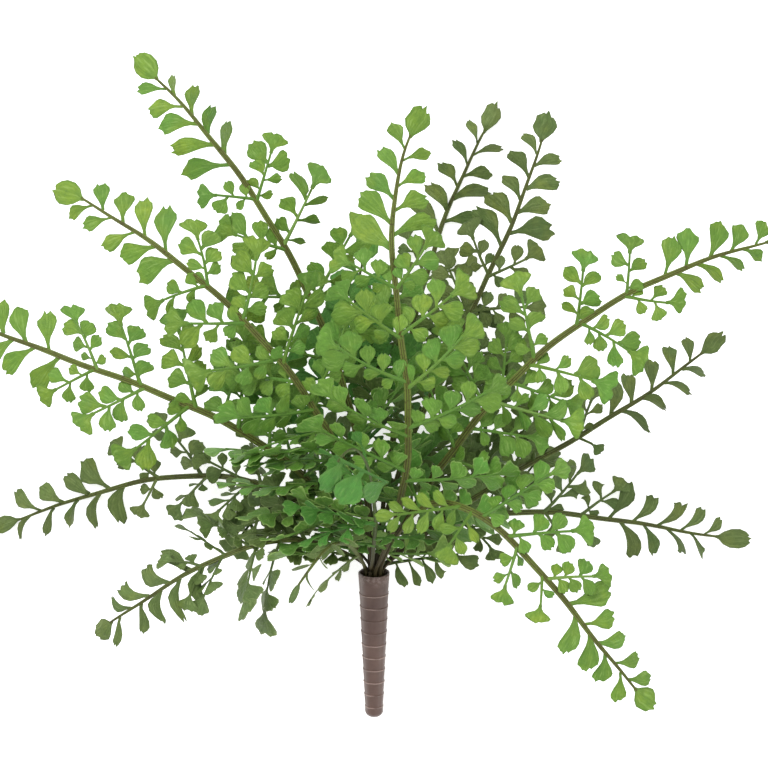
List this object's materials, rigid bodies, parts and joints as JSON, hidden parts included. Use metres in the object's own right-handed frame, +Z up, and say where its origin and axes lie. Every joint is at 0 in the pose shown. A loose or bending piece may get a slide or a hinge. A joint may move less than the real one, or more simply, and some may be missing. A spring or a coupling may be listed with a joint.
{
  "type": "artificial maidenhair fern bush",
  "caption": "Moulded plastic fern bush: arching leafy fronds gathered in a brown tapered socket, lying on its back.",
  "frame": {"origin": "on the surface, under the middle of the box round the whole bush", "axes": "+Z up off the surface that the bush lies on, +X to the right with the socket towards -Y, the side spread of the fronds along X"},
  "size_m": [0.5136, 0.3986, 0.2046],
  "materials": {
    "pick": "satin brown, moulded rings",
    "binder": "rough set filling",
    "leaf_bright": "soft yellow-green, fine veins, paler cut edges",
    "leaf_middle": "soft mid green, fine veins",
    "leaf_dark": "deep green, fine veins"
  },
  "bodies": {
    "root": {"pick": "pick", "binder": "binder", "frond_upper_left": "leaf_bright", "frond_left_upper": "leaf_bright", "frond_left": "leaf_bright", "frond_centre": "leaf_bright", "frond_right_upper": "leaf_bright", "frond_lower_right": "leaf_bright", "frond_front": "leaf_middle", "frond_front_low": "leaf_middle", "frond_upper_middle": "leaf_middle", "frond_right": "leaf_dark", "frond_left_lower": "leaf_dark", "frond_lower_left": "leaf_dark", "frond_top": "leaf_dark", "frond_top_right": "leaf_dark", "frond_right_lower": "leaf_dark", "frond_right_short": "leaf_dark"}
  },
  "joints": []
}
